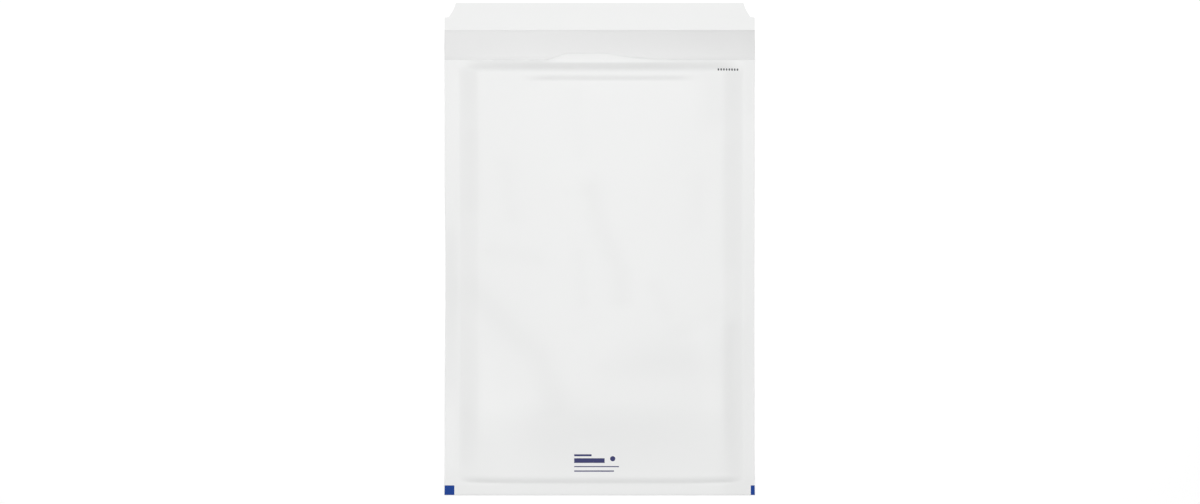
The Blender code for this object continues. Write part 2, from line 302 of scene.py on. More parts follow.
class Form:
    """The heights of the folded envelope. x and y may be numbers or arrays."""

    def __init__(self, sizes):
        low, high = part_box("paper_envelope")
        self.sizes = sizes
        self.half_width = high.x
        self.bottom = low.y
        self.tip = high.y
        self.film_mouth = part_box("bubble_liner")[1].y
        self.mouth = self.film_mouth + sizes.lip
        self.cover = sizes.paper + sizes.film + LAYER_ROOM
        self.fold_radius = self.cover
        self.fold_y = self.bottom + self.fold_radius

    def panel_half_width(self, y):
        """Half the width of the panels, whose sides draw in a little between the ends."""
        along = np.clip((y - self.bottom) / (self.mouth - self.bottom), 0.0, 1.0)
        return self.half_width - self.sizes.pull_in * (1.0 - (2.0 * along - 1.0) ** 4)

    def sheet_half_width(self, y):
        """Half the width of the sheet, with the die-cut corners of the flap."""
        sizes = self.sizes
        from_tip = self.tip - y
        if from_tip <= sizes.corner_length:
            along = from_tip / sizes.corner_length
            narrowing = (sizes.corner_inset - sizes.corner_shoulder) * (along + along * along) / 2
            return self.half_width - sizes.corner_inset + narrowing
        if from_tip < sizes.corner_length + sizes.corner_flare:
            along = (from_tip - sizes.corner_length) / sizes.corner_flare
            return self.half_width - sizes.corner_shoulder * math.sqrt(1.0 - along * along)
        return self.panel_half_width(y)

    def inside_seams(self, x, y):
        """Distances from the side seam and from the bottom seam, negative on them."""
        sizes = self.sizes
        nominal = np.abs(x) * self.half_width / self.panel_half_width(y)
        seam = np.where(x < 0.0, sizes.left_seam, sizes.right_seam)
        return self.half_width - seam - nominal, y - self.bottom - sizes.seam_width

    def shoulders(self, x, y):
        """Distances past the side seam's and the bottom seam's soft creases."""
        crease = self.sizes.crease
        return [np.hypot(np.maximum(away, 0.0), crease) - crease for away in self.inside_seams(x, y)]

    def padding(self, x, y):
        """Share of the padding's thickness: 0 on the seams, 1 past the shoulder."""
        from_side, from_bottom = self.shoulders(x, y)
        shoulder = self.sizes.shoulder
        return swell(from_side / shoulder) * swell(from_bottom / shoulder)

    def crown(self, x, y):
        """Share of the pocket's height: 0 on the seams, 1 in the middle."""
        from_side, from_bottom = self.inside_seams(x, y)
        return soft_step(from_side / self.sizes.crown) * soft_step(from_bottom / self.sizes.crown)

    def seam(self, x, y):
        """Height of the side seams, which sink at both ends and whose edges droop between."""
        sizes = self.sizes
        to_end = np.minimum(self.mouth - y, y - self.bottom)
        seam_width = np.where(x < 0.0, sizes.left_seam, sizes.right_seam)
        out = np.clip(-self.inside_seams(x, y)[0] / seam_width, 0.0, 1.0)
        left = sizes.left_droop * bell((y - LEFT_DROOP_AT[0]) / LEFT_DROOP_AT[1])
        right = sizes.right_droop * bell((y - RIGHT_DROOP_AT[0]) / RIGHT_DROOP_AT[1])
        sunk = sizes.seam_sink * soft_step(1.0 - to_end / sizes.sink_length)
        return sizes.seam_height - sunk - out * np.where(x < 0.0, left, right)

    def back(self, x, y):
        """Outer face of the back panel, which runs on past the mouth as the flap."""
        panel_y = np.minimum(y, self.mouth)
        rise = (self.seam(x, panel_y) - self.fold_radius) * (1.0 - self.padding(x, panel_y))
        return rise * (1.0 - soft_step((y - self.mouth) / self.sizes.settle))

    def pocket_back(self, x, y):
        """Inner face of the back wall of film."""
        seam = self.seam(x, y)
        return seam + self.padding(x, y) * (self.cover + self.sizes.wall - seam)

    def pocket_front(self, x, y):
        """Inner face of the front wall of film, crowned by the pocket, which closes at the mouth."""
        sizes = self.sizes
        closed = soft_step(1.0 - (self.film_mouth - y) / sizes.closing)
        gap = sizes.pocket + closed * (sizes.mouth_gap - sizes.pocket)
        return self.pocket_back(x, y) + self.crown(x, y) * gap

    def dents_and_painted_shade(self, x, y):
        """Strength of each soft dent in the front panel, from about -1 to 1; the same strength sets the
        painted shade in the dent.
        """
        strength = np.zeros(np.broadcast(x, y).shape)
        for half_width, share, path in SOFT_DENTS:
            corners = np.array(path) / 1000
            away = np.full(strength.shape, np.inf)
            for start, end in zip(corners, corners[1:]):
                run = end - start
                along = ((x - start[0]) * run[0] + (y - start[1]) * run[1]) / (run @ run)
                along = np.clip(along, 0.0, 1.0)
                near_x, near_y = (value + along * step for value, step in zip(start, run))
                away = np.minimum(away, np.hypot(x - near_x, y - near_y))
            strength = strength + share * np.exp(-(away * 1000 / half_width) ** 2)
        return strength

    def front(self, x, y):
        """Outer face of the front panel, whose lip falls towards the flap."""
        sizes = self.sizes
        seam = self.seam(x, y)
        inwards = self.mouth - y
        from_side, from_bottom = self.shoulders(x, y)
        swollen = self.pocket_front(x, y) - seam + sizes.wall - sizes.heel_rise
        swollen = swollen - self.dip(x, inwards) + self.unevenness(x, y) - self.dents_and_painted_shade(x, y) * DENT_DEPTH
        stuffed = swell(from_side / sizes.shoulder) * (
            sizes.heel_rise * round_rise(self.heel_place(x, from_bottom) / sizes.heel_foot)
            + swollen * soft_step(from_bottom / sizes.heel)
        )
        fallen = self.fallen(inwards)
        lip = (sizes.lip_height - seam - self.cover) * soft_step(from_side / sizes.shoulder)
        return seam + self.cover + stuffed * (1.0 - fallen) + lip * fallen

    def fallen(self, inwards):
        """Share of the lip's fall, steepest off the edge of the film and still falling at its own edge."""
        turn = self.sizes.lip_turn
        start = self.sizes.lip_fall - turn
        upper = start * steepening(1.0 - (inwards - turn) / start)
        past = np.clip(turn - inwards, 0.0, turn)
        lower = LIP_SLOPE * past + (1.0 - LIP_SLOPE) * turn * (0.5 - steepening(1.0 - past / turn))
        return (upper + lower) / (start / 2 + turn * (1.0 + LIP_SLOPE) / 2)

    def front_film(self, x, y):
        """Upper face of the film under the front panel, pressed flat where the panel is low."""
        sizes = self.sizes
        under_paper = self.front(x, y) - sizes.paper - LAYER_ROOM
        return np.minimum(self.pocket_front(x, y) + sizes.film, under_paper)

    def pressed(self, x, y):
        """Painted shade on the seams and the bare lip: how much darker they are painted, as a share of a
        dent's painted shade.
        """
        from_side, from_bottom = self.inside_seams(x, y)
        side = np.where(x < 0.0, PAINTED_SHADE_SHARES["left"], PAINTED_SHADE_SHARES["right"]) * soft_step(-from_side / PAINTED_SHADE_EDGE)
        bottom = PAINTED_SHADE_SHARES["bottom"] * soft_step(-from_bottom / PAINTED_SHADE_EDGE)
        inside = soft_step(from_side / self.sizes.shoulder)
        lip = PAINTED_SHADE_SHARES["lip"] * soft_step(1.0 - (self.mouth - y) / self.sizes.lip) * inside
        return np.maximum(np.maximum(side, bottom), lip)

    def dip(self, x, inwards):
        """Depth of the dip behind the first row of bubbles, deepest in the middle."""
        sizes = self.sizes
        down = soft_step((inwards - sizes.row_start) / (sizes.row_end - sizes.row_start))
        up_again = soft_step((inwards - sizes.row_end) / sizes.row_rise)
        middle, half_length, ends = DIP_ACROSS
        return sizes.row_dip * down * (1.0 - up_again) * soft_step((half_length - np.abs(x - middle)) / ends)

    def heel_place(self, x, from_bottom):
        """Distance from the bottom crease, which curves up at both ends."""
        side = np.abs(x) / self.half_width
        return from_bottom - CREASE_CURVE * side ** CREASE_POWER

    def unevenness(self, x, y):
        """Slow waves of the padding under the paper."""
        slow = np.sin(x * 71 + 1.3 + 2.1 * np.sin(y * 37)) * np.sin(y * 53 + 0.4 + 1.7 * np.sin(x * 43))
        quick = np.sin(x * 190 + 3 * np.sin(y * 97)) * np.sin(y * 170 + 2.5 * np.sin(x * 121 + 1.0))
        return SLOW_WAVES * slow + QUICK_WAVES * quick

    def bulge(self, x):
        """How far the mouth's edge bows out over the flap, left of the middle."""
        left_side = soft_step((x - BOW_START) / BOW_LEFT)
        return self.sizes.lip_bulge * left_side / (1.0 + (np.maximum(x, 0.0) / BOW_RIGHT) ** 2)


def stations(*stretches):
    """Places along a line, from (start, stop, step length) stretches that follow each other."""
    places = [stretches[0][0]]
    for start, stop, step in stretches:
        count = max(1, round(abs(stop - start) / step))
        places += [start + (stop - start) * (place + 1) / count for place in range(count)]
    return np.array(places)


def across(form, margin=0.0, middle_step=0.0024):
    """Places across the envelope, closer together on the shoulders."""
    sizes = form.sizes
    left, right = (form.half_width - seam for seam in (sizes.left_seam, sizes.right_seam))
    shoulder = sizes.shoulder
    return stations(
        (margin - form.half_width, -left, SEAM_STEP),
        (-left, shoulder - left, SHOULDER_STEP),
        (shoulder - left, right - shoulder, middle_step),
        (right - shoulder, right, SHOULDER_STEP),
        (right, form.half_width - margin, SEAM_STEP),
    )


def grid_object(name, rows, **attributes):
    """A sheet through rows of places, each row as arrays of x, y and z."""
    points = np.array([np.broadcast_arrays(*row) for row in rows]).transpose(0, 2, 1)
    last_row, last_column = (count - 1 for count in points.shape[:2])
    sheet = bmesh.new()
    layers = {attribute: sheet.verts.layers.float.new(attribute) for attribute in attributes}
    bmesh.ops.create_grid(sheet, x_segments=last_column, y_segments=last_row, size=1.0)
    for vertex in sheet.verts:
        column = round((vertex.co.x + 1.0) / 2 * last_column)
        row = round((vertex.co.y + 1.0) / 2 * last_row)
        vertex.co = points[row, column]
        for attribute, layer in layers.items():
            vertex[layer] = attributes[attribute][row][column]
    mesh = bpy.data.meshes.new(name)
    sheet.to_mesh(mesh)
    sheet.free()
    made = bpy.data.objects.new(name, mesh)
    bpy.context.scene.collection.objects.link(made)
    return made


def settle_mesh(made):
    """Apply the modifiers, so that the object is a plain mesh with smooth shading."""
    bpy.context.view_layer.update()
    evaluated = made.evaluated_get(bpy.context.evaluated_depsgraph_get())
    mesh = bpy.data.meshes.new_from_object(evaluated)
    made.modifiers.clear()
    old = made.data
    made.data = mesh
    bpy.data.meshes.remove(old)
    mesh.name = made.name
    mesh.shade_smooth()
    mesh.set_sharp_from_angle(angle=SMOOTH_ANGLE)


def thicken(made, thickness, offset=-1.0):
    """Give a sheet its thickness, inwards from the face that was modelled."""
    solidify = made.modifiers.new("thickness", "SOLIDIFY")
    solidify.thickness = thickness
    solidify.offset = offset
    solidify.use_even_offset = True
    settle_mesh(made)


def finish_piece(made, material, slot, *nodes):
    """Give a piece its material, hang it under the body's empty and hide any parts of the frame that it
    replaces.
    """
    made.data.materials.clear()
    made.data.materials.append(material)
    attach(made, BODY)
    if nodes:
        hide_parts(*nodes)


class Value:
    """A socket of a node, so that node maths reads as Python."""

    def __init__(self, graph, socket):
        self.graph = graph
        self.socket = socket

    def maths(self, operation, *values, **settings):
        """A number worked out by a Math node."""
        return self.graph.node("ShaderNodeMath", dict(operation=operation, **settings), *values)

    def __add__(self, other):
        return self.maths("ADD", self, other)

    def __sub__(self, other):
        return self.maths("SUBTRACT", self, other)

    def __rsub__(self, other):
        return self.maths("SUBTRACT", other, self)

    def __mul__(self, other):
        return self.maths("MULTIPLY", self, other)

    def __truediv__(self, other):
        return self.maths("DIVIDE", self, other)

    def __gt__(self, other):
        return self.maths("GREATER_THAN", self, other)

    def __lt__(self, other):
        return self.maths("LESS_THAN", self, other)

    def __mod__(self, other):
        return self.maths("FLOORED_MODULO", self, other)

    def __abs__(self):
        return self.maths("ABSOLUTE", self)

    def __round__(self):
        return self.maths("ROUND", self)

    def __floor__(self):
        return self.maths("FLOOR", self)

    __radd__ = __add__
    __rmul__ = __mul__

    def clamped(self):
        """The value held between 0 and 1."""
        return self.maths("ADD", self, 0.0, use_clamp=True)

    def larger(self, other):
        """The higher of two values."""
        return self.maths("MAXIMUM", self, other)

    def root(self):
        """The square root."""
        return self.maths("SQRT", self)


class Graph:
    """A node tree under construction."""

    def __init__(self, tree):
        self.tree = tree

    def node(self, kind, settings, *values, output=0, **named):
        """Add a node. Settings come first, then values or links by order and by name."""
        made = self.tree.nodes.new(kind)
        for name, value in settings.items():
            setattr(made, name, value)
        pairs = list(zip(made.inputs, values))
        pairs += [(made.inputs[name.replace("_", " ")], value) for name, value in named.items()]
        for socket, value in pairs:
            if isinstance(value, Value):
                self.tree.links.new(value.socket, socket)
            elif value is not None:
                socket.default_value = value
        return made if output is None else Value(self, made.outputs[output])

    def apart(self, vector):
        """The three numbers of a vector."""
        made = self.node("ShaderNodeSeparateXYZ", {}, vector, output=None)
        return [Value(self, socket) for socket in made.outputs]


class Finish(Graph):
    """A material under construction, on Object coordinates."""

    def __init__(self, name, colour, constants):
        self.material = bpy.data.materials.new(name)
        self.material.use_nodes = True
        super().__init__(self.material.node_tree)
        self.shader = self.tree.nodes["Principled BSDF"]
        self.shader.inputs["Base Color"].default_value = (*colour, 1.0)
        for socket, value in constants.items():
            self.shader.inputs[socket].default_value = value
        self.place = self.node("ShaderNodeTexCoord", {}, output="Object")
        self.x, self.y, self.z = self.apart(self.place)

    def noise(self, scale, detail=2.0, roughness=0.5, stretch=None):
        """Noise over the piece. The scale counts features in a metre, along each axis if stretched."""
        place = self.place
        if stretch:
            place = self.node("ShaderNodeVectorMath", {"operation": "MULTIPLY"}, place, stretch)
        return self.node(
            "ShaderNodeTexNoise", {}, Vector=place, Scale=scale, Detail=detail, Roughness=roughness
        )

    def blend(self, factor, first, second):
        """Mix two colours."""
        mix = self.node("ShaderNodeMix", {"data_type": "RGBA"}, factor, output=None)
        for socket, value in ((mix.inputs[6], first), (mix.inputs[7], second)):
            if isinstance(value, Value):
                self.tree.links.new(value.socket, socket)
            else:
                socket.default_value = (*value, 1.0)
        return Value(self, mix.outputs[2])

    def box(self, low, high):
        """Mask of a rectangle on the X and Y of the piece, with the soft edge of print."""
        middle = [(a + b) / 2 for a, b in zip(low, high)]
        half = [(b - a) / 2 for a, b in zip(low, high)]
        outside = (abs(self.x - middle[0]) - half[0]).larger(abs(self.y - middle[1]) - half[1])
        return (0.5 - outside / PRINT_SOFTNESS).clamped()

    def disc(self, x, y, radius):
        """Mask of a disc on the X and Y of the piece, with the soft edge of print."""
        across_x = self.x - x
        across_y = self.y - y
        away = (across_x * across_x + across_y * across_y).root()
        return (0.5 - (away - radius) / PRINT_SOFTNESS).clamped()

    def feed(self, socket, value):
        """Link a varying value to the shader."""
        self.tree.links.new(value.socket, self.shader.inputs[socket])

    def bump(self, height, distance, strength=1.0):
        """Bump from a height of 0 to 1."""
        raised = self.node("ShaderNodeBump", {}, Strength=strength, Distance=distance, Height=height)
        self.feed("Normal", raised)


def printed_marks(finish, form):
    """Masks of the blue corner marks, of the dark block of print and of the small grey ticks."""
    side = form.half_width
    low = form.bottom - MARK_HEIGHT
    high = form.bottom + MARK_HEIGHT
    left = finish.box((-side - MARK_HEIGHT, low), (-side + LEFT_MARK, high))
    right = finish.box((side - RIGHT_MARK, low), (side + MARK_HEIGHT, high))
    blue = left.larger(right)

    dark = finish.disc(*BLOCK_DISC)
    for y, reach, half_height in BLOCK_BARS:
        dark = dark.larger(finish.box((BLOCK_X, y - half_height), (BLOCK_X + reach, y + half_height)))

    start, end = TICK_ENDS
    grey, *others = (
        finish.box((x - TICK_HALF_WIDTH, start), (x + TICK_HALF_WIDTH, end))
        for x in TICKS_X + np.arange(TICK_COUNT) * TICK_STEP
    )
    for tick in others:
        grey = grey.larger(tick)
    return blue, dark, grey


def paper_finish(colours, form):
    """Smooth white mailing paper with faint fibres, clouds and its print, and painted shade in each dent, on
    its seams and on the bare lip.
    """
    finish = Finish("white_mailing_paper", colours.paper, {"Specular IOR Level": 0.3})
    clouds = finish.noise(38.0, detail=3.0)
    fibres = finish.noise(1.0, detail=3.0, roughness=0.65, stretch=(900.0, 2600.0, 2600.0))
    specks = finish.noise(1400.0, detail=1.0)
    # Painted shade: darker in the dents, on the seams, the bare lip and its bow, and lighter on raised
    # patches
    dented = finish.node("ShaderNodeAttribute", {"attribute_name": "dented"}, output="Fac")
    tone = (clouds - 0.5) * 0.14 + (fibres - 0.5) * 0.14 - dented * DENT_SHADE_SHARE
    darkest, lightest = ([min(1.0, value * shade) for value in colours.paper] for shade in PAPER_SHADES)
    white = finish.blend((0.6 + tone).clamped(), darkest, lightest)
    speck = ((specks - 0.74) * 12.0).clamped() * 0.10
    white = finish.blend(speck, white, (0.62, 0.61, 0.58))

    blue, dark, grey = printed_marks(finish, form)
    on_front = finish.z > form.sizes.seam_height - form.sizes.seam_sink
    worn = 1.0 - (fibres - 0.66).clamped() * 0.7
    printed = finish.blend(blue * on_front * worn, white, colours.ink)
    printed = finish.blend(dark * on_front * worn * 0.97, printed, colours.dark_ink)
    printed = finish.blend(grey * on_front * worn, printed, colours.grey_ink)
    finish.feed("Base Color", printed)
    finish.feed("Roughness", (0.58 + (fibres - 0.5) * 0.22 + blue * on_front * 0.10).clamped())
    finish.bump(fibres * 0.65 + clouds * 0.35, 0.00003, strength=0.5)
    return finish.material


def film_finish(colours, name, alpha):
    """Clear polyethylene film with faint drawing lines and haze."""
    finish = Finish(name, colours.film, {"Specular IOR Level": 0.5})
    haze = finish.noise(160.0, detail=3.0)
    lines = finish.noise(1.0, detail=2.0, stretch=(1400.0, 60.0, 60.0))
    finish.feed("Base Color", finish.blend(haze, [value * 0.95 for value in colours.film], colours.film))
    finish.feed("Roughness", 0.16 + haze * 0.16)
    finish.feed("Alpha", (alpha - 0.10 + haze * 0.14 + lines * 0.06).clamped())
    finish.bump(lines * 0.4 + haze * 0.6, 0.00005, strength=0.4)
    return finish.material


def glue_finish(colours):
    """Hot-melt glue with the ribs of the nozzle that laid it."""
    finish = Finish("hot_melt_glue", colours.glue, {"Specular IOR Level": 0.5})
    ribs = finish.noise(1.0, detail=1.0, stretch=(20.0, 900.0, 20.0))
    patches = finish.noise(120.0, detail=3.0)
    paler = [min(1.0, value * 1.08) for value in colours.glue]
    finish.feed("Base Color", finish.blend(patches, colours.glue, paler))
    finish.feed("Roughness", 0.24 + patches * 0.18)
    finish.bump(ribs * 0.8 + patches * 0.2, 0.00006, strength=0.5)
    return finish.material


def release_finish(colours, near_y, far_y):
    """Pale grey silicone paper, painted a little darker to the right and towards its far edge, and along its
    cut edges, as painted shade.
    """
    finish = Finish("silicone_release_paper", colours.release, {"Specular IOR Level": 0.45})
    patches = finish.noise(30.0, detail=3.0)
    fibres = finish.noise(1.0, detail=3.0, roughness=0.6, stretch=(700.0, 2400.0, 2400.0))
    from_far = far_y - finish.y
    width = far_y - near_y
    # Painted shade along the raised cut edges of the strip
    far_edge = (1.0 - from_far / FAR_EDGE_SHADE).clamped()
    near_edge = (1.0 - (finish.y - near_y) / NEAR_EDGE_SHADE).clamped()
    edge = far_edge + near_edge * 0.2
    # Painted shade to the right and towards the far edge
    rightwards = (finish.x / 0.2 + 0.33).clamped()
    shaded = rightwards * (1.3 - from_far / width)
    tone = 0.72 + (patches - 0.5) * 0.30 + (fibres - 0.5) * 0.22 - edge * 0.24 - shaded * 0.50
    darker = [value * 0.87 for value in colours.release]
    lighter = [min(1.0, value * 1.03) for value in colours.release]
    finish.feed("Base Color", finish.blend(tone.clamped(), darker, lighter))
    finish.feed("Roughness", 0.32 + patches * 0.10 + fibres * 0.06)
    finish.bump(fibres * 0.5 + patches * 0.5, 0.00003, strength=0.4)
    return finish.material


def backdrop_share(graph):
    """1 for rays that should see plain white surroundings: the camera's, and those of gloss and glass."""
    path = graph.node("ShaderNodeLightPath", {}, output=None)
    camera, glossy, through = (
        Value(graph, path.outputs[name])
        for name in ("Is Camera Ray", "Is Glossy Ray", "Is Transmission Ray")
    )
    return camera.larger(glossy).larger(through)


def floor_finish(colours):
    """Pale floor that keeps the shadow and shows white around it."""
    finish = Finish("pale_floor", colours.floor, {"Roughness": 0.9, "Specular IOR Level": 0.1})
    grain = finish.noise(900.0)
    finish.bump(grain, 0.0001, strength=0.1)
    glow = finish.node("ShaderNodeEmission", {}, Strength=backdrop_share(finish) * FLOOR_GLOW)
    both = finish.node("ShaderNodeAddShader", {}, Value(finish, finish.shader.outputs[0]), glow)
    finish.tree.links.new(both.socket, finish.tree.nodes["Material Output"].inputs["Surface"])
    return finish.material


def paper_rows(form):
    """The sheet's run: down the flap and the back panel, round the fold, up the front panel."""
    sizes = form.sizes
    columns = across(form)
    turned = columns / form.half_width
    seam = form.bottom + sizes.seam_width
    shoulder = seam + sizes.shoulder
    corner = form.tip - sizes.corner_length
    flare = corner - sizes.corner_flare
    flap = stations((form.tip, corner, 0.0013), (corner, flare, 0.0002), (flare, form.mouth, 0.0022))
    back = stations(
        (form.mouth, shoulder, 0.006), (shoulder, seam, 0.0015), (seam, form.fold_y, 0.0025)
    )
    turns = [math.pi * step / 10 for step in range(1, 10)]
    front = stations(
        (form.fold_y, seam, 0.0020),
        (seam, seam + 0.014, 0.0008),
        (seam + 0.014, form.mouth - 0.030, 0.0024),
        (form.mouth - 0.030, form.mouth - LIP_STRETCH, 0.0007),
        (form.mouth - LIP_STRETCH, form.mouth, 0.0002),
    )
    rows = []
    for y in np.concatenate([flap, back[1:]]):
        x = turned * form.sheet_half_width(y)
        rows.append((x, y, form.back(x, y)))
    for turn in turns:
        y = form.bottom + form.fold_radius * (1.0 - math.sin(turn))
        x = turned * form.panel_half_width(y)
        rows.append((x, y, form.seam(x, y) - form.fold_radius * math.cos(turn)))
    dents_and_painted_shade = [np.zeros_like(columns)] * len(rows)
    for y in front:
        x = turned * form.panel_half_width(y)
        near_mouth = soft_step((y - form.mouth + LIP_STRETCH) / LIP_STRETCH)
        bow = form.bulge(x) * near_mouth
        rows.append((x, y + bow, form.front(x, y)))
        # Painted shade: darker in the dents, on the seams, the bare lip and where the mouth bows out,
        # lighter on raised patches
        dents_and_painted_shade.append(form.dents_and_painted_shade(x, y) + form.pressed(x, y) + PAINTED_SHADE_SHARES["bow"] * bow / sizes.lip_bulge)
    return rows, dents_and_painted_shade


class ENVELOPE_OT_paper(bpy.types.Operator):
    """Fold the sheet of white paper, with its seams, its mouth and its open flap"""

    bl_idname = "envelope.paper"
    bl_label = "Fold the paper"

    def execute(self, context):
        form = Form(context.scene.envelope_sizes)
        rows, dents_and_painted_shade = paper_rows(form)
        # The paper carries its painted shade, of the dents, seams, lip and bow, as an attribute
        made = grid_object("envelope_paper", rows, dented=dents_and_painted_shade)
        thicken(made, form.sizes.paper)
        finish_piece(made, paper_finish(context.scene.envelope_colours, form), "paper", "paper_envelope")
        return {"FINISHED"}


def film_rows(form):
    """The flat film inside the pocket: down the back wall, round the bottom weld, up the front."""
    sizes = form.sizes
    columns = across(form, margin=FILM_MARGIN, middle_step=0.006)
    turned = columns / form.half_width
    weld = form.bottom + sizes.seam_width - 0.001
    up = stations((weld, weld + 0.014, 0.0018), (weld + 0.014, form.film_mouth, 0.006))
    rows = []
    for y in reversed(up[1:]):
        x = turned * form.panel_half_width(y)
        rows.append((x, y, form.pocket_back(x, y) - sizes.film))
    x = turned * form.panel_half_width(weld)
    rows.append((x, weld - sizes.film, form.pocket_back(x, weld)))
    for y in up[1:]:
        x = turned * form.panel_half_width(y)
        rows.append((x, y, form.front_film(x, y)))
    return rows


class ENVELOPE_OT_film(bpy.types.Operator):
    """Line the pocket with the flat film that closes the bubbles"""

    bl_idname = "envelope.film"
    bl_label = "Line the pocket"

    def execute(self, context):
        form = Form(context.scene.envelope_sizes)
        made = grid_object("liner_film", film_rows(form))
        thicken(made, form.sizes.film)
        finish = film_finish(context.scene.envelope_colours, "clear_film", 0.6)
        finish_piece(made, finish, "film", "bubble_liner")
        return {"FINISHED"}


def bubble_rows():
    """Geometry nodes: staggered rows of bubbles over a wall, each as tall as its room there."""
    group = bpy.data.node_groups.new("bubble_rows", "GeometryNodeTree")
    graph = Graph(group)
    sockets = {}
    for name, kind in (
        ("Wall", "Geometry"), ("Pitch", "Float"), ("Width", "Float"), ("Half width", "Float"),
        ("Bottom", "Float"), ("Top", "Float"), ("Side", "Float"), ("Bubble", "Object"),
        ("Finish", "Material"),
    ):
        made = group.interface.new_socket(name=name, in_out="INPUT", socket_type="NodeSocket" + kind)
        sockets[name] = made.identifier
    group.interface.new_socket(name="Bubbles", in_out="OUTPUT", socket_type="NodeSocketGeometry")
    face = graph.node("NodeGroupInput", {}, output=None)
    wall, pitch, width, half_width, bottom, top, side, bubble, finish = (
        Value(graph, socket) for socket in face.outputs[: len(sockets)]
    )

    row_step = pitch * (math.sqrt(3) / 2)
    columns = math.floor(half_width * 2 / pitch) + 1
    rows = math.floor((top - bottom) / row_step) + 1
    grid = graph.node(
        "GeometryNodeMeshGrid", {}, (columns - 1) * pitch, (rows - 1) * row_step, columns, rows
    )
    x, y, _ = graph.apart(graph.node("GeometryNodeInputPosition", {}))
    row = round((y - (1 - rows) * row_step / 2) / row_step)
    stagger = graph.node("ShaderNodeCombineXYZ", {}, row % 2 * pitch / 2, (top + bottom) / 2, 0.0)
    staggered = graph.node("GeometryNodeSetPosition", {}, Geometry=grid, Offset=stagger)

    below = graph.node("ShaderNodeCombineXYZ", {}, x, y, -1.0)
    room = graph.node("GeometryNodeInputNamedAttribute", {"data_type": "FLOAT"}, "room")
    hit = graph.node(
        "GeometryNodeRaycast", {"data_type": "FLOAT"}, output=None,
        Target_Geometry=wall, Attribute=room, Source_Position=below, Ray_Direction=(0.0, 0.0, 1.0),
        Ray_Length=2.0,
    )
    tall = Value(graph, hit.outputs["Attribute"])
    outwards = graph.node(
        "ShaderNodeVectorMath", {"operation": "SCALE"}, Value(graph, hit.outputs["Hit Normal"]), Scale=side
    )
    missed = (abs(x) > half_width).larger(tall < LEAST_BUBBLE)
    kept = graph.node(
        "GeometryNodeDeleteGeometry", {"domain": "POINT"}, Geometry=staggered, Selection=missed
    )
    seated = graph.node(
        "GeometryNodeSetPosition", {}, Geometry=kept, Position=Value(graph, hit.outputs["Hit Position"])
    )
    blown = graph.node(
        "GeometryNodeInstanceOnPoints", {},
        Points=seated,
        Instance=graph.node("GeometryNodeObjectInfo", {}, bubble, output="Geometry"),
        Rotation=graph.node("FunctionNodeAlignRotationToVector", {"axis": "Z"}, Vector=outwards),
        Scale=graph.node("ShaderNodeCombineXYZ", {}, width / 2, width / 2, tall),
    )
    real = graph.node("GeometryNodeRealizeInstances", {}, blown)
    painted = graph.node("GeometryNodeSetMaterial", {}, Geometry=real, Material=finish)
    graph.node("NodeGroupOutput", {}, painted, output=None)
    return group, sockets


def bubble_shape():
    """One closed bubble of radius 1 and height 1: rings of corners under its top, and a flat foot."""
    turns = [math.tau * (0.25 + side / BUBBLE_SIDES) for side in range(BUBBLE_SIDES)]
    corners = [(0.0, 0.0, 1.0)]
    for ring in range(1, BUBBLE_RINGS + 1):
        lean = math.pi / 2 * ring / BUBBLE_RINGS
        out, up = math.sin(lean), float(round_rise(math.cos(lean)))
        corners += [(out * math.cos(turn), out * math.sin(turn), up) for turn in turns]
    rings = np.arange(1, len(corners)).reshape(BUBBLE_RINGS, BUBBLE_SIDES)
    beside = np.roll(rings, -1, axis=1).tolist()
    rings = rings.tolist()
    faces = [(0, *pair) for pair in zip(rings[0], beside[0])]
    for ring in range(BUBBLE_RINGS - 1):
        faces += zip(rings[ring], rings[ring + 1], beside[ring + 1], beside[ring])
    faces.append(rings[-1][::-1])
    mesh = bpy.data.meshes.new("bubble_shape")
    mesh.from_pydata(corners, [], faces)
    return bpy.data.objects.new("bubble_shape", mesh)


def blow_bubbles(name, form, wall, room, side, finish):
    """The bubbles of one wall, from the height of its film and the room between film and paper."""
    sizes = form.sizes
    turned = across(form, margin=FILM_MARGIN, middle_step=0.003) / form.half_width
    start = form.bottom + sizes.seam_width
    near = sizes.bubble_width * 0.4
    around = [(near * math.cos(turn), near * math.sin(turn)) for turn in np.arange(8) * math.pi / 4]
    rows = []
    rooms = []
    for y in stations((start, form.film_mouth, 0.003)):
        x = turned * form.panel_half_width(y)
        rows.append((x, y, wall(x, y)))
        rooms.append(np.min([room(x + aside, y + along) for aside, along in around], axis=0))
    made = grid_object(name, rows, room=rooms)
    group, sockets = bubble_rows()
    shape = bubble_shape()
    blow = made.modifiers.new("bubbles", "NODES")
    blow.node_group = group
    for socket, value in {
        "Pitch": sizes.bubble_pitch,
        "Width": sizes.bubble_width,
        "Half width": form.half_width - sizes.left_seam - sizes.bubble_width / 2,
        "Bottom": start + sizes.bubble_width / 2,
        "Top": form.film_mouth - sizes.bubble_width / 2,
        "Side": side,
        "Bubble": shape,
        "Finish": finish,
    }.items():
        blow[sockets[socket]] = value
    settle_mesh(made)
    bpy.data.objects.remove(shape)
    finish_piece(made, finish, "film")


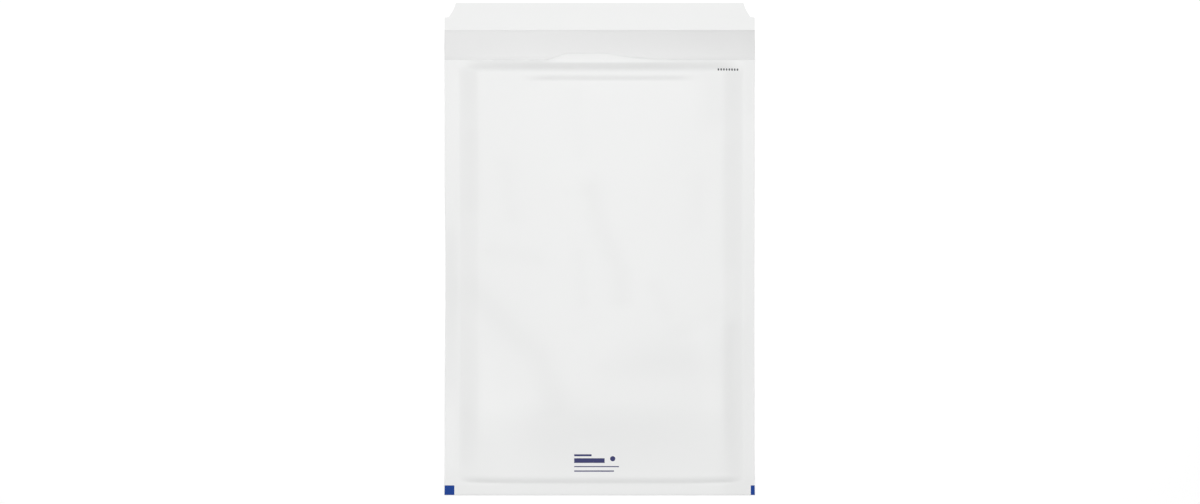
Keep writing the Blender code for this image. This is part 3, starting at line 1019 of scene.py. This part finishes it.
class ENVELOPE_OT_bubbles(bpy.types.Operator):
    """Blow the staggered bubbles between the film and the paper, on both walls of the pocket"""

    bl_idname = "envelope.bubbles"
    bl_label = "Blow the bubbles"

    def execute(self, context):
        form = Form(context.scene.envelope_sizes)
        sizes = form.sizes
        finish = film_finish(context.scene.envelope_colours, "bubble_film", 0.5)

        def front_room(x, y):
            return form.front(x, y) - sizes.paper - LAYER_ROOM - form.front_film(x, y)

        def back_film(x, y):
            return form.pocket_back(x, y) - sizes.film

        def back_room(x, y):
            return back_film(x, y) - form.back(x, y) - sizes.paper - LAYER_ROOM

        blow_bubbles("bubbles_front", form, form.front_film, front_room, 1.0, finish)
        blow_bubbles("bubbles_back", form, back_film, back_room, -1.0, finish)
        return {"FINISHED"}


def strip_rows(form, node, lift):
    """Rows of places along a strip on the inside of the flap, lifted off the paper by a function."""
    low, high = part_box(node)
    turned = across(form, margin=form.half_width - high.x, middle_step=0.003) / form.half_width
    places = stations(
        (low.y, low.y + STRIP_EDGE, STRIP_EDGE_STEP),
        (low.y + STRIP_EDGE, high.y - STRIP_EDGE, 0.0012),
        (high.y - STRIP_EDGE, high.y, STRIP_EDGE_STEP),
    )
    rows = []
    for y in places:
        x = turned * form.panel_half_width(y)
        rows.append((x, y, form.back(x, y) + form.sizes.paper + lift(x, y)))
    return rows


class ENVELOPE_OT_glue(bpy.types.Operator):
    """Lay the band of glue across the inside of the flap"""

    bl_idname = "envelope.glue"
    bl_label = "Lay the glue"

    def execute(self, context):
        form = Form(context.scene.envelope_sizes)
        glue = form.sizes.glue
        rows = strip_rows(form, "adhesive_strip", lambda x, y: LAYER_ROOM + glue)
        made = grid_object("glue_band", rows)
        thicken(made, glue)
        finish_piece(made, glue_finish(context.scene.envelope_colours), "glue", "adhesive_strip")
        return {"FINISHED"}


class ENVELOPE_OT_release(bpy.types.Operator):
    """Cover the glue with its release strip, pressed down along both edges"""

    bl_idname = "envelope.release"
    bl_label = "Cover the glue"

    def execute(self, context):
        form = Form(context.scene.envelope_sizes)
        sizes = form.sizes
        low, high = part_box("release_strip")
        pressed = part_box("adhesive_strip")[0].y - low.y

        def over_glue(x, y):
            inside = soft_step(min(y - low.y, high.y - y) / pressed)
            ripple = 0.00006 * np.sin(x * 83 + 1.0) * inside
            return LAYER_ROOM + sizes.release + inside * (sizes.glue + LAYER_ROOM + 0.00006) + ripple

        made = grid_object("release_paper", strip_rows(form, "release_strip", over_glue))
        thicken(made, sizes.release)
        finish = release_finish(context.scene.envelope_colours, low.y, high.y)
        finish_piece(made, finish, "release_paper", "release_strip")
        return {"FINISHED"}


def make_floor(context):
    """A plain pale floor just under the envelope."""
    mesh = bpy.data.meshes.new("studio_floor")
    flat = bmesh.new()
    bmesh.ops.create_grid(flat, x_segments=4, y_segments=4, size=context.scene.envelope_stage.floor / 2)
    bmesh.ops.translate(flat, verts=flat.verts, vec=(0.0, 0.0, -LAYER_ROOM))
    flat.to_mesh(mesh)
    flat.free()
    made = bpy.data.objects.new("studio_floor", mesh)
    made.data.materials.append(floor_finish(context.scene.envelope_colours))
    context.scene.collection.objects.link(made)
    made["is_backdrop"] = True


def make_sky(context):
    """Even white surroundings, which look plain white to the camera."""
    world = bpy.data.worlds.new("white_studio")
    world.use_nodes = True
    graph = Graph(world.node_tree)
    strength = context.scene.envelope_stage.sky
    lit = graph.tree.nodes["Background"]
    lit.inputs["Color"].default_value = (1.0, 1.0, 1.0, 1.0)
    share = backdrop_share(graph) * (1.0 - strength) + strength
    graph.tree.links.new(share.socket, lit.inputs["Strength"])
    context.scene.world = world


def make_lamp(context):
    """One large soft lamp, high over the flap and a little to the left."""
    stage = context.scene.envelope_stage
    data = bpy.data.lights.new("large_softbox", "AREA")
    data.shape = "SQUARE"
    data.size = stage.lamp_size
    data.energy = stage.key
    lamp = bpy.data.objects.new("large_softbox", data)
    lamp.location = (stage.lamp_x, stage.lamp_y, stage.lamp_z)
    lamp.rotation_euler = (-lamp.location).to_track_quat("-Z", "Y").to_euler()
    lamp.visible_camera = False
    context.scene.collection.objects.link(lamp)


def make_camera(context):
    """A long lens straight above the envelope, with the flap at the top."""
    stage = context.scene.envelope_stage
    data = bpy.data.cameras.new("overhead")
    data.lens = stage.lens
    data.sensor_width = stage.sensor
    camera = bpy.data.objects.new("overhead", data)
    camera.location = (stage.camera_x, stage.camera_y, stage.camera_height)
    context.scene.collection.objects.link(camera)
    context.scene.camera = camera


class ENVELOPE_OT_stage(bpy.types.Operator):
    """Set up the floor, the white surroundings, the lamp and the camera"""

    bl_idname = "envelope.stage"
    bl_label = "Set up the stage"

    def execute(self, context):
        context.scene.view_settings.view_transform = "Standard"
        make_camera(context)
        make_floor(context)
        make_sky(context)
        make_lamp(context)
        return {"FINISHED"}


class ENVELOPE_PT_panel(bpy.types.Panel):
    """Lists the steps and the sizes of the envelope"""

    bl_idname = "ENVELOPE_PT_panel"
    bl_label = "Padded envelope"
    bl_space_type = "VIEW_3D"
    bl_region_type = "UI"
    bl_category = "Envelope"

    def draw(self, context):
        for step in STEPS:
            self.layout.operator(step.bl_idname)
        for group in (getattr(context.scene, name) for name in GROUPS):
            box = self.layout.box()
            for size in group.bl_rna.properties.keys():
                if size not in ("rna_type", "name"):
                    box.prop(group, size)


STEPS = (
    ENVELOPE_OT_stage,
    ENVELOPE_OT_paper,
    ENVELOPE_OT_film,
    ENVELOPE_OT_bubbles,
    ENVELOPE_OT_glue,
    ENVELOPE_OT_release,
)
GROUPS = {
    "envelope_sizes": EnvelopeSizes,
    "envelope_colours": EnvelopeColours,
    "envelope_stage": EnvelopeStage,
}


def register():
    """Make the sizes, the steps and the panel known to Blender."""
    for made in (*GROUPS.values(), *STEPS, ENVELOPE_PT_panel):
        bpy.utils.register_class(made)
    for name, group in GROUPS.items():
        setattr(bpy.types.Scene, name, PointerProperty(type=group))


def unregister():
    """Take them away again."""
    for name in GROUPS:
        delattr(bpy.types.Scene, name)
    for made in reversed((*GROUPS.values(), *STEPS, ENVELOPE_PT_panel)):
        bpy.utils.unregister_class(made)


def main():
    """Build the whole scene."""
    register()
    bpy.ops.envelope.stage()
    bpy.ops.envelope.paper()
    bpy.ops.envelope.film()
    bpy.ops.envelope.bubbles()
    bpy.ops.envelope.glue()
    bpy.ops.envelope.release()
    visual_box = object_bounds()
    boxes = {
        "cad": [list(corner) for corner in cad_box],
        "visual": [list(corner) for corner in visual_box],
    }


if __name__ == "__main__":
    main()
